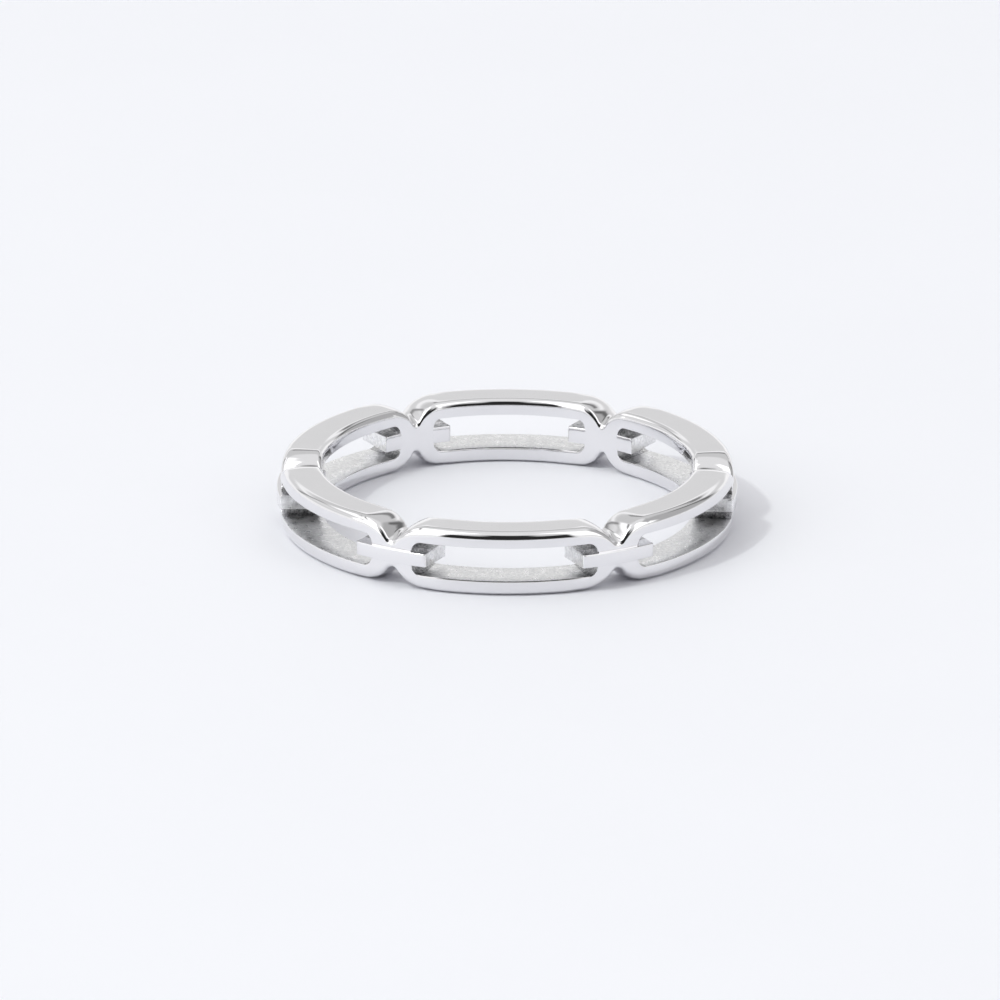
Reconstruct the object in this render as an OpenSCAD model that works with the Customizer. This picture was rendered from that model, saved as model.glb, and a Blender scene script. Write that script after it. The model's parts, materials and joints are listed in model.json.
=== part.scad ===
// A rigid finger ring in the form of a paperclip chain. Six long links stand round the
// finger, and a short connector passes through the windows of each two neighbours. The
// links and connectors are cast and polished as one piece of silver.

/* [Size] */
// Diameter of the finger bore
bore_d = 17.3; // [14:0.1:22]
// Thickness of a link, measured outward from the bore
link_t = 1.92; // [1.4:0.02:3]
// Height of a link along the finger
link_h = 3.1; // [2.4:0.02:5]

/* [Links] */
// Number of links round the finger
link_n = 6; // [5:1:8]
// Height of a link's window
window_h = 1.58; // [1:0.02:3]
// Metal left between the windows of two neighbouring links
joint_w = 2.0; // [1.4:0.05:3]
// Radius of a window's corners
window_r = 0.42; // [0.1:0.02:0.7]
// Radius of the arc that each corner of a link follows
shoulder_r = 2.4; // [1.8:0.05:3]
// Distance from a joint to where a shoulder's arc begins
shoulder_l = 1.7; // [1:0.02:2.4]
// How far a shoulder's arc stands above the flat side where it begins, so that it cuts in
shoulder_rise = 0.01; // [0.005:0.005:0.05]

/* [Edges] */
// Rounding of a link's edges at the bore
edge_in = 0.28; // [0.1:0.02:0.6]
// Rounding of a link's edges at the outer face
edge_out = 0.36; // [0.1:0.02:0.6]

/* [Connectors] */
// Length of a connector, from one window into the next
bar_l = 3.76; // [3:0.02:5]
// Height of a connector at the bore
bar_in_h = 0.78; // [0.5:0.02:1.4]
// Height of a connector at its outer face
bar_out_h = 0.64; // [0.4:0.02:1.2]
// How far a connector stands out from the links
bar_proud = 0.16; // [0.05:0.01:0.6]
// Radius of a connector's outer corners
bar_out_r = 0.25; // [0.1:0.05:0.8]
// Radius of a connector's inner corners
bar_in_r = 0.25; // [0.1:0.05:0.8]

/* [Hidden] */
// Fineness of the round faces
$fn = 96;
// Length by which a cutting tool runs past the face that it cuts
over = 1;
// Radii of the bore, of the links' outer faces and of the connectors' outer faces
bore_r = bore_d / 2;
link_r = bore_r + link_t;
bar_r = link_r + bar_proud;
// Half heights
half_h = link_h / 2;
half_window = window_h / 2;
// Angle from one joint to the next
pitch = 360 / link_n;
// Angle between a joint and the end wall of a window, taken halfway through a link
wall_a = asin(joint_w / 2 / (bore_r + link_t / 2));
// Angle between a joint and the start of a window's curved run
run_a = wall_a + asin(1.5 * window_r / bore_r);
// Length of the straight tool that cuts a window's end
end_l = 3 * window_r;
// Height of the centre of a shoulder's arc, measured from the middle of the ring
shoulder_z = half_h - shoulder_r + shoulder_rise;

// Section of a link in the plane of the ring's axis, with its four edges rounded.
module link_section() {
    for (side = [-1, 1]) {
        translate([bore_r + edge_in, side * (half_h - edge_in)]) circle(r = edge_in);
        translate([link_r - edge_out, side * (half_h - edge_out)]) circle(r = edge_out);
    }
    translate([bore_r + edge_in, -half_h]) square([link_t - edge_in - edge_out, link_h]);
    translate([bore_r, edge_in - half_h]) square([link_t / 2, link_h - 2 * edge_in]);
    translate([bore_r + link_t / 2, edge_out - half_h])
        square([link_t / 2, link_h - 2 * edge_out]);
}

// Plain band that the links are cut from.
module band() {
    rotate_extrude() link_section();
}

// Moves a flat shape, drawn along the ring and up, so that it stands at an angle round the
// ring, and pushes it out through the whole band.
module through_band(a) {
    rotate([0, 0, a]) rotate([90, 0, 90]) translate([0, 0, bore_r - over])
        linear_extrude(link_t + 2 * over) children();
}

// Window of one link: a curved run between two ends with round corners.
module window() {
    run = pitch - 2 * run_a;
    rotate([0, 0, run_a]) rotate_extrude(angle = run)
        translate([bore_r - over, -half_window]) square([link_t + 2 * over, window_h]);
    for (way = [0, 1])
        rotate([0, 0, way * pitch]) mirror([0, way, 0])
            through_band(wall_a) window_end();
}

// Outline of a window's end, starting at the end wall.
module window_end() {
    for (side = [-1, 1])
        translate([window_r, side * (half_window - window_r)]) circle(r = window_r);
    translate([0, window_r - half_window]) square([end_l, window_h - 2 * window_r]);
    translate([window_r, -half_window]) square([end_l - window_r, window_h]);
}

// Outline of the two notches at a joint: all that lies outside both links' round shoulders.
module notch_outline() {
    difference() {
        square([2 * shoulder_l, link_h + 2 * over], center = true);
        for (way = [-1, 1])
            intersection_for(side = [-1, 1])
                translate([way * shoulder_l, side * shoulder_z]) circle(r = shoulder_r);
    }
}

// Connector seen along the finger: rounded corners, and a face that follows the ring.
module connector_plan() {
    intersection() {
        circle(r = bar_r);
        union() {
            for (side = [-1, 1]) {
                translate([bar_r - bar_out_r, side * (bar_l / 2 - bar_out_r)])
                    circle(r = bar_out_r);
                translate([bore_r + bar_in_r, side * (bar_l / 2 - bar_in_r)])
                    circle(r = bar_in_r);
            }
            translate([bore_r - over, bar_in_r - bar_l / 2])
                square([bar_r - bore_r + over, bar_l - 2 * bar_in_r]);
            translate([bore_r + bar_in_r, -bar_l / 2])
                square([bar_r - bar_out_r - bore_r - bar_in_r, bar_l]);
        }
    }
}

// Connector: thicker at the bore than at its outer face, and flush with the bore.
module connector() {
    difference() {
        intersection() {
            translate([0, 0, -half_h]) linear_extrude(link_h) connector_plan();
            rotate_extrude()
                polygon([[bore_r - over, -bar_in_h / 2], [bore_r, -bar_in_h / 2],
                         [bar_r, -bar_out_h / 2], [bar_r, bar_out_h / 2],
                         [bore_r, bar_in_h / 2], [bore_r - over, bar_in_h / 2]]);
        }
        cylinder(r = bore_r, h = link_h, center = true);
    }
}

// The whole ring, in one solid, lying on its side.
module chain_band() {
    color([0.84, 0.85, 0.87])
    translate([0, 0, half_h]) {
        difference() {
            band();
            for (i = [0:link_n - 1]) {
                rotate([0, 0, i * pitch]) window();
                through_band(i * pitch) notch_outline();
            }
        }
        for (i = [0:link_n - 1])
            rotate([0, 0, i * pitch]) connector();
    }
}

chain_band();
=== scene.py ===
"""A finger ring in the form of a paperclip chain, cast and polished in silver, lying on its side."""
import json
import math

import bmesh
import bpy
from mathutils import Matrix, Vector


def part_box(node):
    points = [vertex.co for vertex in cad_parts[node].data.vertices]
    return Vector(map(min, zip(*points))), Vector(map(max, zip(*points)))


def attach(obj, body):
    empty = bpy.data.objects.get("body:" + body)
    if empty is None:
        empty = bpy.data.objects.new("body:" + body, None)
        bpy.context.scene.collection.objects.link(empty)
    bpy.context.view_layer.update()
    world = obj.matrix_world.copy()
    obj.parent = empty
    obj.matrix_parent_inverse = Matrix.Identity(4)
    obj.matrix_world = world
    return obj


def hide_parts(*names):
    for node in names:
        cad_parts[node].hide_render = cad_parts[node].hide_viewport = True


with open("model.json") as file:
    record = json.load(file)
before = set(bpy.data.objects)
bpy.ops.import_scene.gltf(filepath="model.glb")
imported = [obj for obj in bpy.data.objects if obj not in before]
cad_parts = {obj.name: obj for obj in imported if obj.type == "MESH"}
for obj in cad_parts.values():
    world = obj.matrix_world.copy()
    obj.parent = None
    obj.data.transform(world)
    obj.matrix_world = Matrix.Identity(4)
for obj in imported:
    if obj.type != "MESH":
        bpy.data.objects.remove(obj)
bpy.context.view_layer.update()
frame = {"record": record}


# Links. Six long links stand round the finger, each a flat loop of cast silver with a long window.
# They run into each other at round shoulders, which leave a notch above and below each joint.
# Outside they are polished bright, and the windows' walls stay as cast, with painted shade darkening their
# ends.
link_count = 6

# Sizes of the links and connectors are in millimetres, and make_piece turns them into metres.
MM = 0.001
mounts = {mount["name"]: mount for mount in frame["record"]["mounts"]}
bore_radius = mounts["finger_bore"]["dims"]["r_mm"]
band_low, band_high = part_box("chain_band")
half_tall = (band_high[2] - band_low[2]) / MM / 2
link_thick = 1.92
middle_radius = bore_radius + link_thick / 2
half_link = middle_radius * math.pi / link_count

# The window: half its height, the distance from the joint to its end wall, and its corners' radius.
window_half = 0.79
window_start = 1.0
window_corner = 0.42

# The notch: round shoulders, a round bottom that sinks towards both faces, and a flare outward.
# The sinking fades along the link and ends at sink_run, and a larger sink_fall makes it fade sooner.
shoulder_radius = 1.2
shoulder_start = 1.25
valley_radius = 0.22
notch_flare = 0.4
sink_at_bore = 0.14
sink_outside = 0.22
sink_run = 2.0
sink_fall = 1.3

# Roundings of the edges. A pair is the size in the notches and the size on the flat runs.
edge_at_bore = (0.18, 0.32)
edge_outside = (0.18, 0.4)
edge_of_window = 0.045


def noise(tree, place, scale, detail=2.0, rough=0.5):
    """Cloudy pattern in a material, of a scale given in patches per metre."""
    cloud = tree.nodes.new("ShaderNodeTexNoise")
    cloud.inputs["Scale"].default_value = scale
    cloud.inputs["Detail"].default_value = detail
    cloud.inputs["Roughness"].default_value = rough
    tree.links.new(place, cloud.inputs["Vector"])
    return cloud.outputs["Fac"]


def spread(tree, value, low, high, to_low, to_high):
    """Turns the part of a pattern from low to high into the range from to_low to to_high."""
    span = tree.nodes.new("ShaderNodeMapRange")
    names = ("From Min", "From Max", "To Min", "To Max")
    for name, number in zip(names, (low, high, to_low, to_high)):
        span.inputs[name].default_value = number
    tree.links.new(value, span.inputs["Value"])
    return span.outputs["Result"]


def tint(tree, value, dark, light):
    """Colour that runs from dark to light as a pattern runs from 0 to 1."""
    mix = tree.nodes.new("ShaderNodeMix")
    mix.data_type = "RGBA"
    mix.inputs["A"].default_value = (*dark, 1)
    mix.inputs["B"].default_value = (*light, 1)
    tree.links.new(value, mix.inputs["Factor"])
    return mix.outputs["Result"]


def relief(tree, height, depth, under=None):
    """Bump of a depth in metres, laid over another bump where one is given."""
    bump = tree.nodes.new("ShaderNodeBump")
    bump.inputs["Distance"].default_value = depth
    tree.links.new(height, bump.inputs["Height"])
    if under:
        tree.links.new(under, bump.inputs["Normal"])
    return bump.outputs["Normal"]


def finish(name):
    """New material with its shader and the coordinates of the piece that wears it."""
    material = bpy.data.materials.new(name)
    material.use_nodes = True
    tree = material.node_tree
    place = tree.nodes.new("ShaderNodeTexCoord").outputs["Object"]
    return material, tree, tree.nodes["Principled BSDF"], place


def polished_silver():
    """Bright silver: soft waves left by the polishing wheel, and a faint haze of fine lines."""
    material, tree, shader, place = finish("polished_silver")
    shader.inputs["Metallic"].default_value = 1
    haze = noise(tree, place, scale=900, detail=3)
    silver_tint = tint(tree, haze, dark=(0.81, 0.805, 0.82), light=(0.84, 0.835, 0.85))
    tree.links.new(silver_tint, shader.inputs["Base Color"])
    roughness = spread(tree, haze, low=0.3, high=0.7, to_low=0.05, to_high=0.09)
    tree.links.new(roughness, shader.inputs["Roughness"])
    waves = relief(tree, noise(tree, place, scale=700, detail=1), depth=6e-6)
    fine_lines = relief(tree, noise(tree, place, scale=5000), depth=4e-7, under=waves)
    tree.links.new(fine_lines, shader.inputs["Normal"])
    return material


def cast_silver(name, dark, light):
    """Silver as it leaves the mould: grainy and mottled, from a dark to a light grey, which dark greys turn
    into painted shade.
    """
    material, tree, shader, place = finish(name)
    shader.inputs["Metallic"].default_value = 1
    mottle = noise(tree, place, scale=8000, detail=3, rough=0.6)
    grain = spread(tree, mottle, low=0.35, high=0.65, to_low=0, to_high=1)
    tree.links.new(tint(tree, grain, dark, light), shader.inputs["Base Color"])
    patches = noise(tree, place, scale=2500)
    roughness = spread(tree, patches, low=0.3, high=0.7, to_low=0.22, to_high=0.45)
    tree.links.new(roughness, shader.inputs["Roughness"])
    lumps = relief(tree, noise(tree, place, scale=5000), depth=2e-5)
    tree.links.new(relief(tree, grain, depth=4e-6, under=lumps), shader.inputs["Normal"])
    return material


silver_finishes = [
    polished_silver(),
    cast_silver("cast_silver", dark=(0.76, 0.76, 0.77), light=(0.98, 0.98, 0.98)),
    # The last is cast silver darkened with painted shade, for the recesses at the window's ends.
    cast_silver("painted_shade_silver", dark=(0.28, 0.28, 0.29), light=(0.8, 0.8, 0.8))]

# The places of the two cast silvers in that list: plain cast silver, and cast silver darkened with painted
# shade for the window's ends and the bars' faces inside the window. A face that is given neither is
# polished.
as_cast = 1
as_cast_painted_shade = 2

# The outline of a link's upper side is two arcs and a straight, with the joint at 0: the round
# bottom of the notch, the round shoulder, and the flat run to the middle of the link.
shoulder_height = half_tall - shoulder_radius
arcs_apart = shoulder_radius + valley_radius
valley_height = shoulder_height + math.sqrt(arcs_apart ** 2 - shoulder_start ** 2)
valley_end = shoulder_start * valley_radius / arcs_apart
steepest = math.asin(shoulder_start / arcs_apart)


def outline(across):
    """Height of the outline at a distance from the joint."""
    if across < valley_end:
        return valley_height - math.sqrt(valley_radius ** 2 - across ** 2)
    short_of_run = max(shoulder_start - across, 0)
    return shoulder_height + math.sqrt(shoulder_radius ** 2 - short_of_run ** 2)


def below_outline(across, up):
    """Distance of a point from the outline, and the steepness of the outline beside it."""
    steep = math.atan2(shoulder_start - across, up - shoulder_height)
    if across >= shoulder_start:
        return half_tall - up, 0
    if steep < steepest:
        return shoulder_radius - math.hypot(shoulder_start - across, up - shoulder_height), steep
    return math.hypot(across, valley_height - up) - valley_radius, steepest


def steps(start, end, count):
    """Even steps from start to end, without the start."""
    return [start + (end - start) * k / count for k in range(1, count + 1)]


# A quarter of one link is laid out flat: columns of points along it, and rows from its middle up
# to its outline, the last but one along the end wall and round corner of the window.
tiny = 1e-5
corner_x = window_start + window_corner
corner_z = window_half - window_corner
corner_middle = math.radians(135)
valley_steps = 3
shoulder_steps = 10
corner_steps = 4
run_steps = 17
wall_steps = 2
columns = [0] + steps(0, valley_end, valley_steps)
columns += steps(valley_end, corner_x + window_corner * math.cos(corner_middle), shoulder_steps)
wall_columns = len(columns) - 1
corner_turns = steps(corner_middle, math.pi / 2, corner_steps)
columns += [corner_x + window_corner * math.cos(turn) for turn in corner_turns]
columns += steps(corner_x, half_link, run_steps)
wall_rows = [(window_start, 0)] + [(window_start, z) for z in steps(0, corner_z, wall_steps)]
wall_turns = steps(math.pi, corner_middle, corner_steps)
wall_rows += [(corner_x + window_corner * math.cos(turn), corner_z + window_corner * math.sin(turn))
              for turn in wall_turns]

# Height of the topmost of these rows at the window's corner, and at the joint under the notch.
wall_top = wall_rows[-1][1]
joint_row_top = 0.15

link = bmesh.new()
last_column = len(columns) - 1
last_row = len(wall_rows)
grid_half = 0.5
bmesh.ops.create_grid(link, x_segments=last_column, y_segments=last_row, size=grid_half)
place_of = {v: (round((v.co.x + grid_half) * last_column), round((v.co.y + grid_half) * last_row))
            for v in link.verts}
void = [f for f in link.faces
        if all(place_of[v][0] >= wall_columns and place_of[v][1] < last_row for v in f.verts)]
bmesh.ops.delete(link, geom=void, context="FACES")
for v in link.verts:
    column, row = place_of[v]
    across = columns[column]
    if row == last_row:
        v.co = (across, 0, outline(across))
    elif column <= wall_columns:
        wall_x, wall_z = wall_rows[row]
        share = across / columns[wall_columns]
        top = joint_row_top + (wall_top - joint_row_top) * share
        v.co = (wall_x * share, 0, wall_z / wall_top * top)
    else:
        short_of_corner = max(corner_x - across, 0)
        v.co = (across, 0, corner_z + math.sqrt(window_corner ** 2 - short_of_corner ** 2))
grown = bmesh.ops.extrude_face_region(link, geom=link.faces[:])["geom"]
outer_verts = [v for v in grown if isinstance(v, bmesh.types.BMVert)]
bmesh.ops.translate(link, verts=outer_verts, vec=(0, link_thick, 0))
bmesh.ops.recalc_face_normals(link, faces=link.faces[:])


def on_outline(v):
    """True for a point on the outline of the flat quarter."""
    return abs(v.co.z - outline(v.co.x)) < tiny


def on_window(v):
    """True for a point on the rim of the window of the flat quarter."""
    across, up = v.co.x, v.co.z
    if across > corner_x - tiny:
        return abs(up - window_half) < tiny
    if up < corner_z + tiny:
        return abs(across - window_start) < tiny
    return abs(math.hypot(across - corner_x, up - corner_z) - window_corner) < tiny


def round_off(mesh_edit, edges, size, segments):
    """Rounds the given edges."""
    bmesh.ops.bevel(mesh_edit, geom=edges, offset=size, offset_type="OFFSET", segments=segments,
                    profile=0.5, affect="EDGES", material=-1, clamp_overlap=False, loop_slide=True)


def slice_across(mesh_edit, axis, places):
    """Cuts new edges round a mesh at places along one axis, and takes nothing away."""
    for place in places:
        spot = [place if k == axis else 0 for k in range(3)]
        along = [1 if k == axis else 0 for k in range(3)]
        bmesh.ops.bisect_plane(mesh_edit, geom=mesh_edit.verts[:] + mesh_edit.edges[:] + mesh_edit.faces[:],
                               plane_co=spot, plane_no=along)


# The rims are rounded while the quarter is flat, and the faces where it will meet its mirrored
# copies are then taken out.
# Window walls are cast silver; those short of the window's corner, at its ends, get painted shade.
for f in link.faces:
    if all(on_window(v) for v in f.verts):
        f.material_index = as_cast_painted_shade if f.calc_center_median().x < corner_x + tiny else as_cast
rims = [e for e in link.edges if abs(e.verts[0].co.y - e.verts[1].co.y) < tiny]
window_rim = [e for e in rims if all(on_window(v) for v in e.verts)]
outline_rim = [e for e in rims if all(on_outline(v) for v in e.verts)]
bore_rim = [e for e in outline_rim if e.verts[0].co.y < tiny]
outer_rim = [e for e in outline_rim if e.verts[0].co.y > tiny]
rim_segments = 8
window_rim_segments = 2
depth_steps = 6
round_off(link, bore_rim, edge_at_bore[0], rim_segments)
round_off(link, outer_rim, edge_outside[0], rim_segments)
round_off(link, window_rim, edge_of_window, window_rim_segments)
seams = ((0, 0), (2, 0), (0, half_link))
seam_faces = [f for f in link.faces
              if any(all(abs(v.co[axis] - flat) < tiny for v in f.verts) for axis, flat in seams)]
bmesh.ops.delete(link, geom=seam_faces, context="FACES")
slice_across(link, 1, steps(edge_at_bore[1], link_thick - edge_outside[1], depth_steps)[:-1])


# A point counts as part of a rounding up to this many times the rounding's size from the edge.
slack = 1.1


def widened(inset, drop, sizes, steep):
    """Opens a small rounding out to the large one as the outline runs level."""
    small, large = sizes
    reach = slack * small
    if inset > reach or drop > reach:
        return inset, drop
    grow = large / small + (1 - large / small) * steep / steepest
    return inset * grow, drop * grow


# The roundings open out from the notches to the flat runs. Near its outline the quarter is bent
# so that a notch keeps its width at the bore and flares outward, and the rest runs straight round
# the finger. The two ways of bending blend between the outline and the window.
notch_reach = 0.65
notch_blend = 0.25
half_pitch = math.pi / link_count
for v in link.verts:
    across, depth, up = v.co
    drop, steep = below_outline(across, up)
    if depth < link_thick / 2:
        depth, moved = widened(depth, drop, edge_at_bore, steep)
    else:
        inset, moved = widened(link_thick - depth, drop, edge_outside, steep)
        depth = link_thick - inset
    if across >= shoulder_start:
        up -= moved - drop
    elif steep < steepest:
        pull = (shoulder_radius - moved) / (shoulder_radius - drop)
        across = shoulder_start + (across - shoulder_start) * pull
        up = shoulder_height + (up - shoulder_height) * pull
    radius = bore_radius + depth
    flare = 1 + notch_flare * depth / link_thick
    shoulder_turn = math.asin(shoulder_start * flare / radius)
    run = (across - shoulder_start) / (half_link - shoulder_start)
    notch_turn = shoulder_turn + (half_pitch - shoulder_turn) * run
    if run < 0:
        notch_turn = math.asin(across * flare / radius)
    share = min(max((notch_reach - moved) / notch_blend, 0), 1)
    turn = notch_turn * share + across / middle_radius * (1 - share)
    off_middle = 2 * depth / link_thick - 1
    sink = sink_outside if off_middle > 0 else sink_at_bore
    up -= sink * share * off_middle ** 2 * max(1 - across / sink_run, 0) ** sink_fall
    v.co = (radius * math.cos(turn), radius * math.sin(turn), up)


def repeat_round(mesh_edit):
    """Turns copies of a link's or a connector's mesh round the finger, one for each joint."""
    turn = math.tau * (link_count - 1) / link_count
    bmesh.ops.spin(mesh_edit, geom=mesh_edit.verts[:] + mesh_edit.edges[:] + mesh_edit.faces[:],
                   cent=(0, 0, 0), axis=(0, 0, 1), dvec=(0, 0, 0), angle=turn, steps=link_count - 1,
                   use_duplicate=True)


# Edges that turn by more than this stay crisp.
sharp_from = math.radians(40)


def make_piece(name, mesh_edit):
    """Stands a finished mesh on the floor, in metres, and makes it an object in silver."""
    bmesh.ops.translate(mesh_edit, verts=mesh_edit.verts[:], vec=(0, 0, half_tall))
    bmesh.ops.scale(mesh_edit, verts=mesh_edit.verts[:], vec=(MM, MM, MM))
    bmesh.ops.recalc_face_normals(mesh_edit, faces=mesh_edit.faces[:])
    mesh = bpy.data.meshes.new(name)
    mesh_edit.to_mesh(mesh)
    mesh_edit.free()
    for material in silver_finishes:
        mesh.materials.append(material)
    mesh.shade_smooth()
    mesh.set_sharp_from_angle(angle=sharp_from)
    piece = bpy.data.objects.new(name, mesh)
    bpy.context.scene.collection.objects.link(piece)
    weighted = piece.modifiers.new("Weighted Normal", "WEIGHTED_NORMAL")
    weighted.keep_sharp = True
    return piece


# The bent quarter is mirrored into the whole of one joint, repeated and joined up. Points closer
# than these are merged, at the seams of one joint and between two joints.
seam_gap = 1e-4
joint_gap = 1e-3
for axis in ("Y", "Z"):
    bmesh.ops.mirror(link, geom=link.verts[:] + link.edges[:] + link.faces[:], axis=axis,
                     merge_dist=seam_gap)
bmesh.ops.remove_doubles(link, verts=link.verts[:], dist=seam_gap)
repeat_round(link)
bmesh.ops.remove_doubles(link, verts=link.verts[:], dist=joint_gap)
links = make_piece("links", link)
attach(links, "root")
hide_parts("chain_band")


# Connectors. A short flat bar joins each two links through the ends of their windows. It is cast
# with them, so it has no gap to the metal round it. It lies flush with the bore and stands a
# little proud outside, where its face is polished crisp.
bar_half_long = 1.88
bar_half_long_at_bore = 1.74
bar_tall_at_bore = 0.78
bar_tall_outside = 0.64
bar_proud = 0.16
bar_end_round = 0.1
bar_rim = 0.045
bar_polished_from = 1.5
bar_deep = link_thick + bar_proud

# The bars start a hair under the skin of the bore. Edges that turn by more than corner_from are
# rounded, and faces_end and faces_level tell a bar's ends and level faces by their normals.
under_skin = 0.001
corner_from = math.radians(60)
faces_end = 0.8
faces_level = 0.95
bar_end_segments = 4
bar_rim_segments = 3
bar_slices = 24
bar_layers = 6

bar = bmesh.new()
bmesh.ops.create_cube(bar, size=1)
bmesh.ops.scale(bar, verts=bar.verts[:], vec=(bar_deep, 2 * bar_half_long, 1))
bmesh.ops.translate(bar, verts=bar.verts[:], vec=(bar_deep / 2, 0, 0))
for v in bar.verts:
    if v.co.x < tiny:
        v.co.y *= bar_half_long_at_bore / bar_half_long
upright = [e for e in bar.edges if abs(e.verts[0].co.z - e.verts[1].co.z) > tiny]
round_off(bar, upright, bar_end_round, bar_end_segments)
slice_across(bar, 1, steps(-bar_half_long, bar_half_long, bar_slices)[:-1])
slice_across(bar, 0, steps(0, bar_deep, bar_layers)[:-1])
corners = [e for e in bar.edges if e.calc_face_angle(0) > corner_from]
round_off(bar, corners, bar_rim, bar_rim_segments)
# A bar's level faces inside the window get painted shade, its ends are cast silver, and the rest is
# polished.
for f in bar.faces:
    if abs(f.normal.z) > faces_level and f.calc_center_median().x < bar_polished_from:
        f.material_index = as_cast_painted_shade
    elif abs(f.normal.y) > faces_end:
        f.material_index = as_cast
for v in bar.verts:
    depth, across, up = v.co
    tall = bar_tall_at_bore + (bar_tall_outside - bar_tall_at_bore) * depth / bar_deep
    radius = bore_radius + under_skin + depth
    v.co = (math.sqrt(radius ** 2 - across ** 2), across, up * tall)
repeat_round(bar)
connectors = make_piece("connectors", bar)
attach(connectors, "root")
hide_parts("chain_band")


# Floor. A plain sheet of pale, matt board with a faint cloudiness, on which the ring lies on its
# side. It reaches well past the picture's edges, and its size is in metres.
floor_half = 0.6


def pale_board():
    """White board, a little blue, with faint clouds and a fine tooth."""
    material, tree, shader, place = finish("pale_board")
    shader.inputs["Roughness"].default_value = 0.6
    clouds = noise(tree, place, scale=60, detail=3)
    board_tint = tint(tree, clouds, dark=(0.876, 0.88, 0.928), light=(0.896, 0.9, 0.948))
    tree.links.new(board_tint, shader.inputs["Base Color"])
    tooth = relief(tree, noise(tree, place, scale=4000, detail=3), depth=2e-6)
    tree.links.new(tooth, shader.inputs["Normal"])
    return material


board = bmesh.new()
bmesh.ops.create_grid(board, x_segments=1, y_segments=1, size=floor_half)
floor_mesh = bpy.data.meshes.new("floor")
board.to_mesh(floor_mesh)
board.free()
floor_mesh.materials.append(pale_board())
floor = bpy.data.objects.new("floor", floor_mesh)
bpy.context.scene.collection.objects.link(floor)


# Camera. It looks at the ring from far off, a little above the floor, with a long lens. The
# picture is 1000 pixels wide, and the ring's centre falls a little off the picture's middle.
picture = 1000
pixels_per_mm = 21.453
centre_px = (507.11, 490.99)
lens = 1080
sensor = 36
nearest_seen = 0.01
distance = lens * picture / sensor / pixels_per_mm * MM
elevation = math.radians(18.99)
azimuth = math.radians(0.657)
roll = math.radians(0.179)
ring_centre = Vector((0, 0, half_tall * MM))
towards_camera = Vector((math.sin(azimuth) * math.cos(elevation),
                         -math.cos(azimuth) * math.cos(elevation),
                         math.sin(elevation)))
level_right = Vector((math.cos(azimuth), math.sin(azimuth), 0))
level_up = towards_camera.cross(level_right)
picture_right = level_right * math.cos(roll) + level_up * math.sin(roll)
picture_up = level_up * math.cos(roll) - level_right * math.sin(roll)
shift_right = (centre_px[0] - picture / 2) / pixels_per_mm * MM
shift_down = (centre_px[1] - picture / 2) / pixels_per_mm * MM
stand = ring_centre - picture_right * shift_right + picture_up * shift_down + towards_camera * distance
camera_data = bpy.data.cameras.new("camera")
camera_data.sensor_width = sensor
camera_data.lens = lens
camera_data.clip_start = nearest_seen
camera = bpy.data.objects.new("camera", camera_data)
pose = Matrix((picture_right, picture_up, towards_camera)).transposed().to_4x4()
pose.translation = stand
camera.matrix_world = pose
bpy.context.scene.collection.objects.link(camera)
bpy.context.scene.camera = camera


# Light. One soft lamp from the left, and a pale studio with plain screens: level bands all round,
# bright, grey and narrow dark ones at the sides and back, and two dark ones in front.
lamp_data = bpy.data.lights.new("left_lamp", "AREA")
lamp_data.size = 0.05
lamp_data.energy = 1.25
lamp_data.color = (0.95, 1.0, 0.95)
lamp = bpy.data.objects.new("left_lamp", lamp_data)
lamp.location = (-0.41, -0.25, 0.64)
lamp.rotation_euler = (lamp.location - ring_centre).to_track_quat("Z", "Y").to_euler()
bpy.context.scene.collection.objects.link(lamp)

studio = bpy.data.worlds.new("studio")
bpy.context.scene.world = studio
studio.use_nodes = True
sky = studio.node_tree


def sums(operation, *values):
    """One step of arithmetic in the studio's nodes."""
    step = sky.nodes.new("ShaderNodeMath")
    step.operation = operation
    for socket, value in zip(step.inputs, values):
        if isinstance(value, (int, float)):
            socket.default_value = value
        else:
            sky.links.new(value, socket)
    return step.outputs[0]


def ramp_up(value, start, end):
    """Rises smoothly from 0 to 1 as an angle goes from start to end."""
    ramp = sky.nodes.new("ShaderNodeMapRange")
    ramp.interpolation_type = "SMOOTHSTEP"
    ramp.inputs["From Min"].default_value = start
    ramp.inputs["From Max"].default_value = end
    sky.links.new(value, ramp.inputs["Value"])
    return ramp.outputs["Result"]


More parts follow.
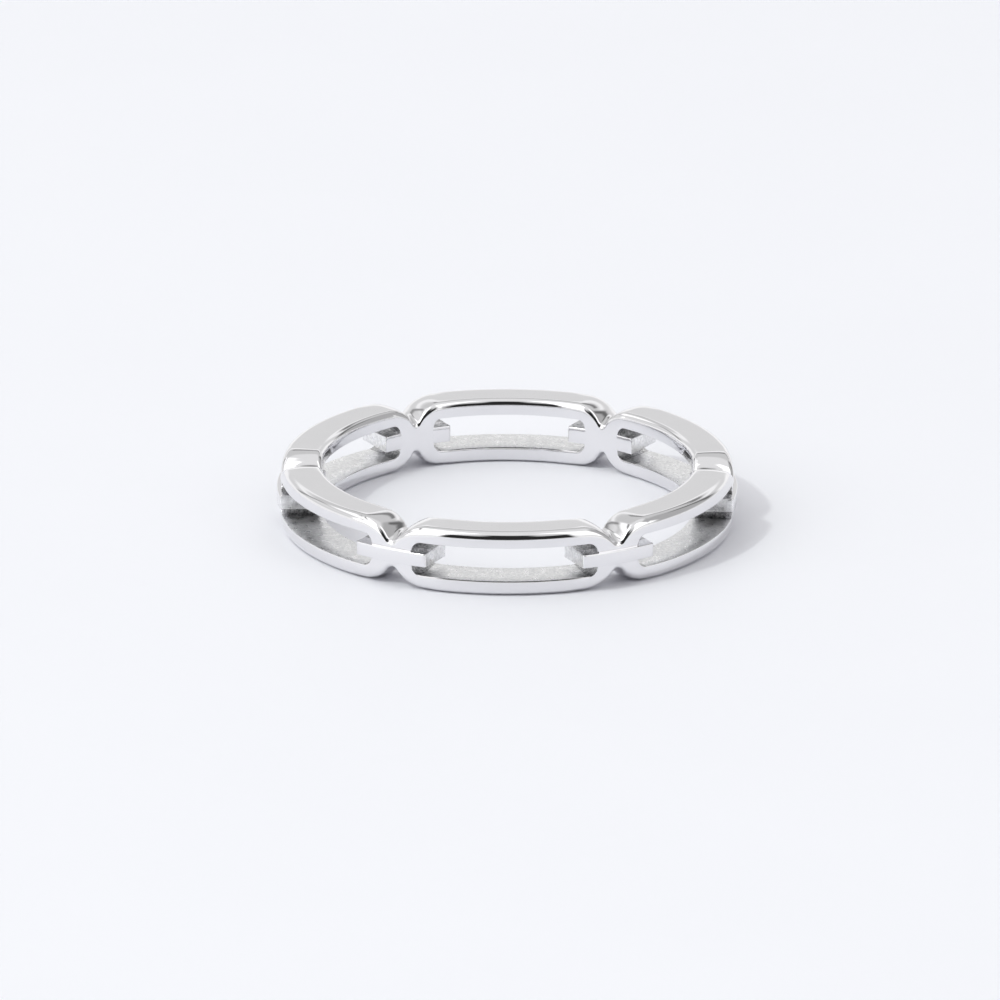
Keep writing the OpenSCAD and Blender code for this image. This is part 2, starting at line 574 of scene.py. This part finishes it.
# Directions are in degrees: a bearing from the back of the studio, to the right where it is
# positive, and a height above the floor.
split = sky.nodes.new("ShaderNodeSeparateXYZ")
sky.links.new(sky.nodes.new("ShaderNodeTexCoord").outputs["Generated"], split.inputs["Vector"])
bearing = sums("DEGREES", sums("ARCTAN2", split.outputs["X"], split.outputs["Y"]))
height = sums("DEGREES", sums("ARCSINE", split.outputs["Z"]))
half_turn = 180


def screen(behind, middle, half_wide, low, high, soft, grey):
    """Lays a screen of an even grey over what is behind it."""
    turned = sums("WRAP", sums("SUBTRACT", bearing, middle), half_turn, -half_turn)
    beside = sums("SUBTRACT", 1, ramp_up(sums("ABSOLUTE", turned), half_wide - soft, half_wide + soft))
    above = ramp_up(height, low - soft, low + soft)
    below = sums("SUBTRACT", 1, ramp_up(height, high - soft, high + soft))
    mix = sky.nodes.new("ShaderNodeMix")
    mix.data_type = "RGBA"
    sky.links.new(sums("MULTIPLY", beside, sums("MULTIPLY", above, below)), mix.inputs["Factor"])
    sky.links.new(behind, mix.inputs["A"])
    mix.inputs["B"].default_value = (grey, grey, grey, 1)
    return mix.outputs["Result"]


# Screens, each laid over those before it. The columns are the bearing of its middle, half its
# width, its low and high edges, the softness of its edges, and its brightness.
studio_grey = 0.88
screens = (
    (0, 200, -90, 15, 3, 1.05),
    (0, 200, 14, 26, 4, 0.78),
    (0, 50, 26, 32, 2, 1.05),
    (0, 200, 33, 60, 4, 0.68),
    (75, 27, 5, 58, 5, 0.48),
    (55, 4, 12, 45, 3, 0.16),
    (14, 26, 34, 39, 1.5, 0.25),
    (-50, 3, 12, 45, 3, 0.3),
    (-70, 25, 40, 76, 5, 1.3),
    (-67, 22, 56, 60, 2, 0.2),
    (-122, 24, 18, 78, 4, 2.0),
    (119, 20, 22, 78, 4, 1.45),
    (178, 35, 2, 43, 3, 0.025),
    (178, 16, 38, 62, 6, 0.025))
wall = sky.nodes.new("ShaderNodeRGB").outputs["Color"]
wall.default_value = (studio_grey, studio_grey, studio_grey, 1)
for row in screens:
    wall = screen(wall, *row)
sky.links.new(wall, sky.nodes["Background"].inputs["Color"])
bpy.context.scene.view_settings.view_transform = "Standard"
